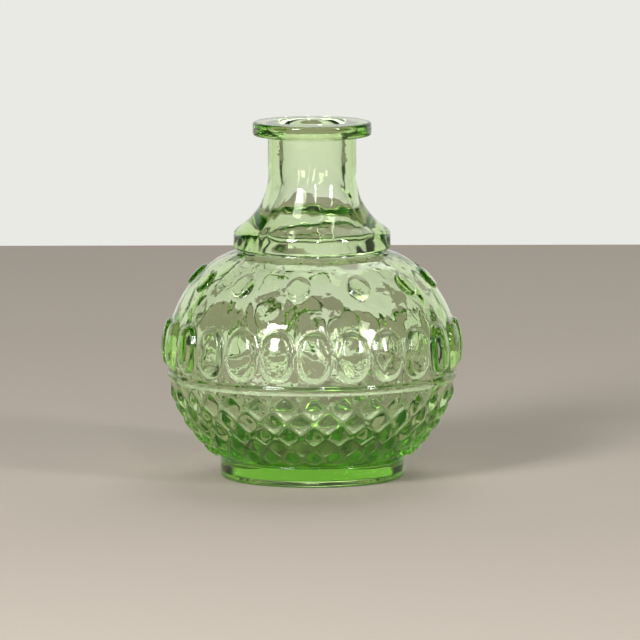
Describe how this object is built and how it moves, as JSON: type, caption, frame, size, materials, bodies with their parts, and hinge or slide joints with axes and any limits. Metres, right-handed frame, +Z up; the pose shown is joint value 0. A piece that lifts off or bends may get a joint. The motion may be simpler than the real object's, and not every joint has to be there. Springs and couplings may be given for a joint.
{
  "type": "bud vase",
  "caption": "Small round moulded glass bud vase with a solid foot, raised lozenges and ovals on the body, a collar, a flared neck and a flat lip.",
  "frame": {"origin": "centre of the flat resting ring under the foot", "axes": "+Z up along the vase's axis of revolution, out of the mouth; -Y faces the viewer, with a tall oval centred on it"},
  "size_m": [0.0912, 0.0912, 0.108],
  "materials": {
    "green_glass": "clear spring-green soda-lime glass, fire-polished from the mould, with a faintly wavy inner wall"
  },
  "bodies": {
    "root": {"glass_vessel": "green_glass"}
  },
  "joints": []
}
